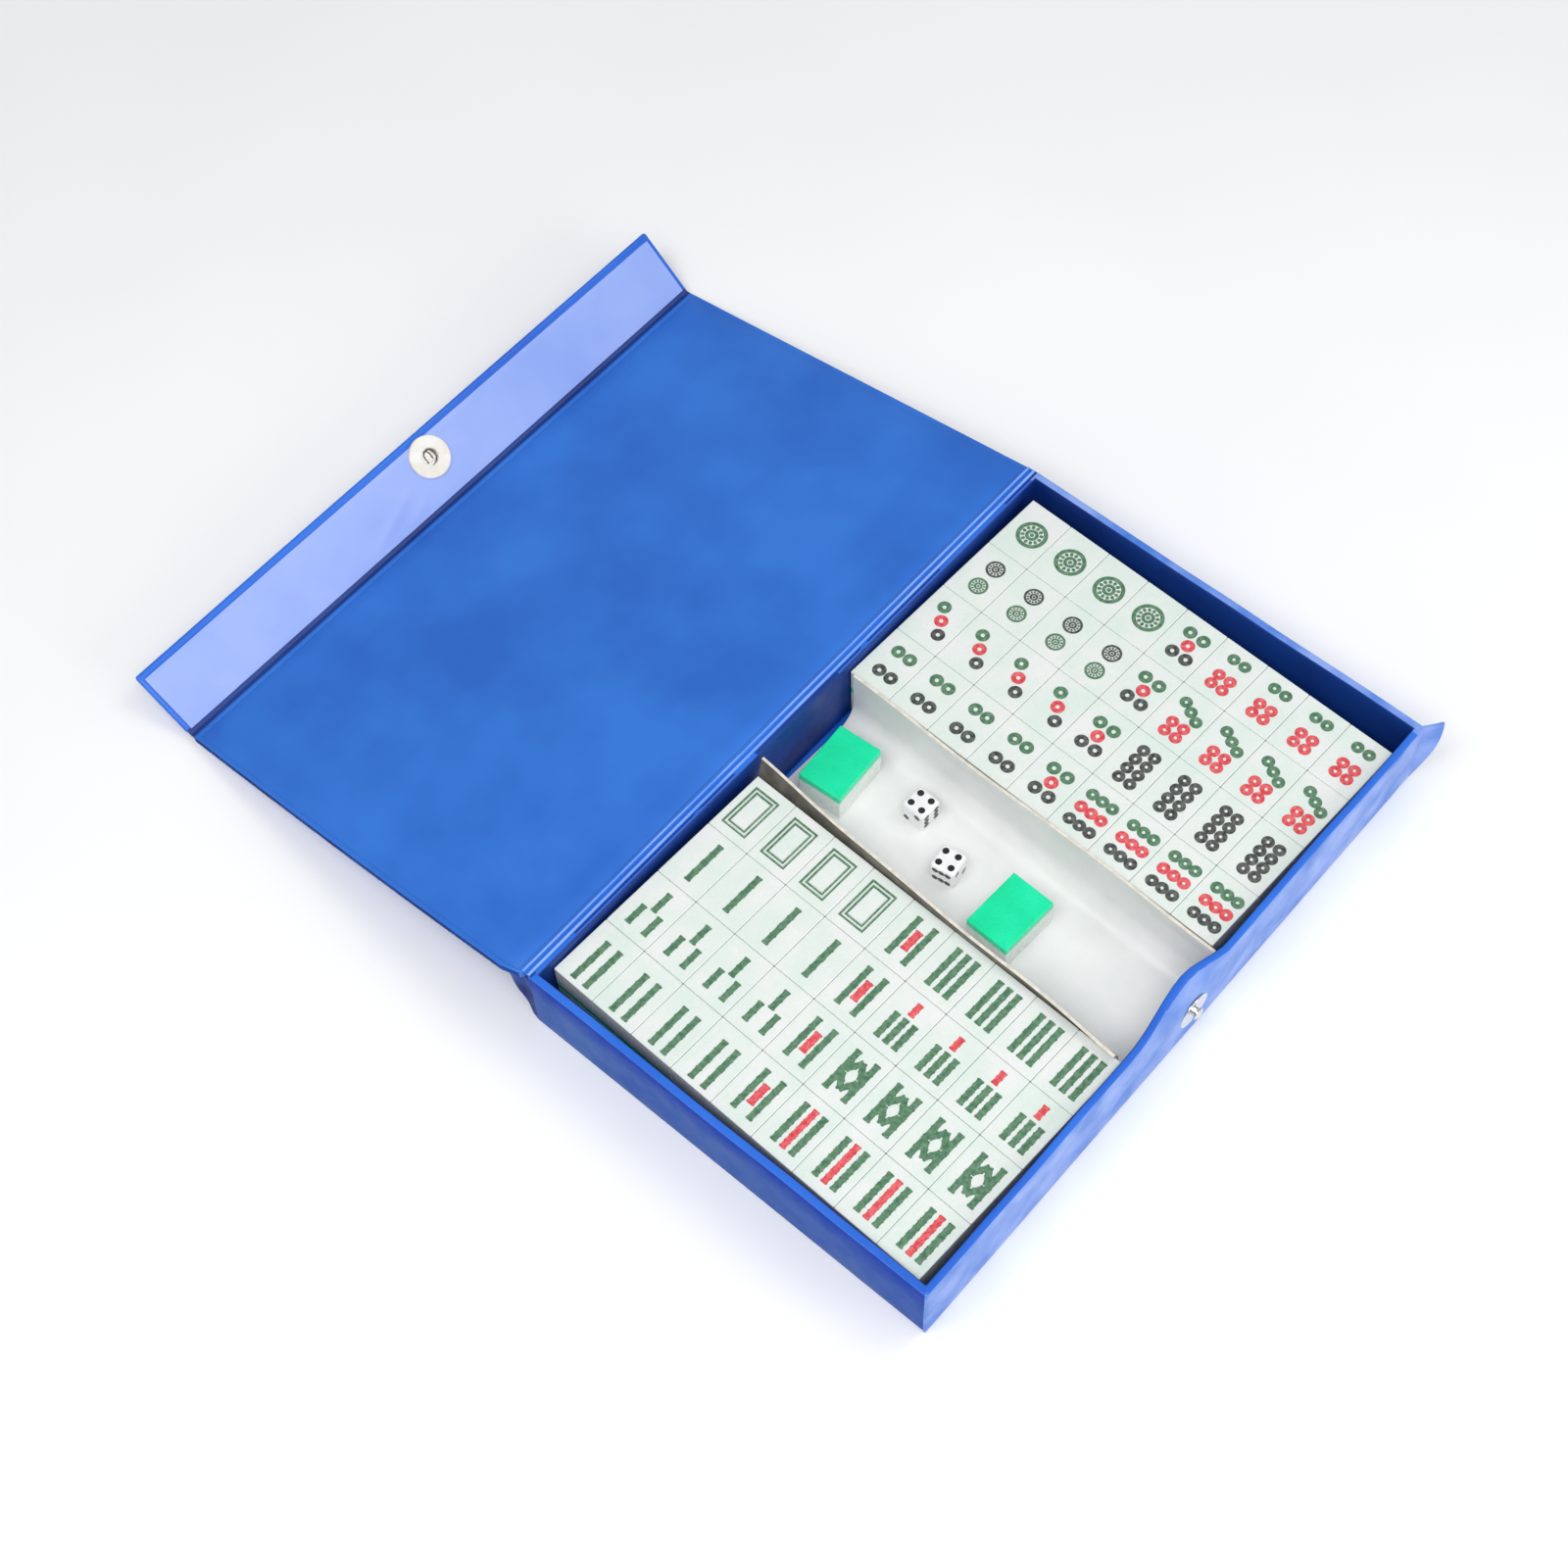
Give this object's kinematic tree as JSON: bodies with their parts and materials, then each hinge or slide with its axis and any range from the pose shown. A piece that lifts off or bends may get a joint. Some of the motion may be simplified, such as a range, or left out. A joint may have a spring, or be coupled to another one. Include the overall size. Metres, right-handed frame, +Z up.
{
  "type": "travel mahjong case",
  "caption": "Flat vinyl-covered case with a hinged lid and press-stud flap, holding two blocks of engraved tiles and a trough with dice.",
  "frame": {"origin": "centre of the tray's underside, on the table", "axes": "+Z up, +X along the spine to the right, +Y from the front wall to the spine and over the open lid"},
  "size_m": [0.217, 0.2993, 0.0277],
  "materials": {
    "vinyl_blue": "glossy soft vinyl with a fine grain",
    "vinyl_lining": "satin vinyl",
    "vinyl_flap_lining": "satin vinyl, paler where it is stretched",
    "greyboard": "matt board, sealed inside the vinyl",
    "snap_steel": "bright nickel plate",
    "snap_socket_white": "ivory enamel",
    "snap_spring_brass": "dull spring wire",
    "trough_plastic": "smooth white sheet",
    "dice_plastic": "polished white with black pips",
    "tile_back_green": "polished green back on a white body",
    "tile_white": "polished white with a faint green tint"
  },
  "bodies": {
    "tray": {"tray_base_skin": "vinyl_blue", "tray_wall_skin": "vinyl_blue", "tray_lining": "vinyl_lining", "tray_base_board": "greyboard", "left_wall_board": "greyboard", "right_wall_board": "greyboard", "front_wall_board": "greyboard", "spine_wall_board": "greyboard", "lid_hinge_strip": "vinyl_blue", "snap_stud": "snap_steel", "snap_post": "snap_steel"},
    "lid": {"lid_outer_skin": "vinyl_blue", "lid_board": "greyboard", "lid_lining": "vinyl_lining", "flap_fold_strip": "vinyl_blue"},
    "flap": {"flap_outer_skin": "vinyl_blue", "flap_board": "greyboard", "flap_lining": "vinyl_flap_lining", "snap_cap": "snap_steel", "snap_socket": "snap_socket_white", "snap_spring": "snap_spring_brass"},
    "trough": {"divider_trough": "trough_plastic"},
    "die_1": {"die_1": "dice_plastic"},
    "die_2": {"die_2": "dice_plastic"},
    "spare_tile_1": {"spare_tile_1": "tile_back_green"},
    "spare_tile_2": {"spare_tile_2": "tile_back_green"},
    "left_lower_tiles": {"character_tiles": "tile_white"},
    "left_upper_tiles": {"bamboo_2_tiles": "tile_white", "bamboo_3_tiles": "tile_white", "bamboo_4_tiles": "tile_white", "bamboo_5_tiles": "tile_white", "bamboo_6_tiles": "tile_white", "bamboo_7_tiles": "tile_white", "bamboo_8_tiles": "tile_white", "bamboo_9_tiles": "tile_white", "white_dragon_tiles": "tile_white"},
    "right_lower_tiles": {"bamboo_1_tiles": "tile_white", "wind_tiles": "tile_white", "dragon_tiles": "tile_white", "flower_tiles": "tile_white"},
    "right_upper_tiles": {"circle_1_tiles": "tile_white", "circle_2_tiles": "tile_white", "circle_3_tiles": "tile_white", "circle_4_tiles": "tile_white", "circle_5_tiles": "tile_white", "circle_6_tiles": "tile_white", "circle_7_tiles": "tile_white", "circle_8_tiles": "tile_white", "circle_9_tiles": "tile_white"}
  },
  "joints": [
    {"name": "lid_hinge", "type": "hinge", "parent": "tray", "child": "lid", "pos_m": [0, 0.06983, 0.0272], "axis": [-1, 0, 0], "range_deg": [-190.1, 0]},
    {"name": "flap_fold", "type": "hinge", "parent": "lid", "child": "flap", "pos_m": [0, 0.2086, 0.00248], "axis": [-1, 0, 0], "range_deg": [-42, 28]},
    {"name": "trough_lift", "type": "slide", "parent": "tray", "child": "trough", "axis": [0, 0, 1], "range_m": [0, 0.03]},
    {"name": "die_1_lift", "type": "slide", "parent": "trough", "child": "die_1", "axis": [0, 0, 1], "range_m": [0, 0.04]},
    {"name": "die_2_lift", "type": "slide", "parent": "trough", "child": "die_2", "axis": [0, 0, 1], "range_m": [0, 0.04]},
    {"name": "spare_tile_1_lift", "type": "slide", "parent": "trough", "child": "spare_tile_1", "axis": [0, 0, 1], "range_m": [0, 0.04]},
    {"name": "spare_tile_2_lift", "type": "slide", "parent": "trough", "child": "spare_tile_2", "axis": [0, 0, 1], "range_m": [0, 0.04]},
    {"name": "left_lower_lift", "type": "slide", "parent": "tray", "child": "left_lower_tiles", "axis": [0, 0, 1], "range_m": [0, 0.03]},
    {"name": "left_upper_lift", "type": "slide", "parent": "left_lower_tiles", "child": "left_upper_tiles", "axis": [0, 0, 1], "range_m": [0, 0.02]},
    {"name": "right_lower_lift", "type": "slide", "parent": "tray", "child": "right_lower_tiles", "axis": [0, 0, 1], "range_m": [0, 0.03]},
    {"name": "right_upper_lift", "type": "slide", "parent": "right_lower_tiles", "child": "right_upper_tiles", "axis": [0, 0, 1], "range_m": [0, 0.02]}
  ]
}
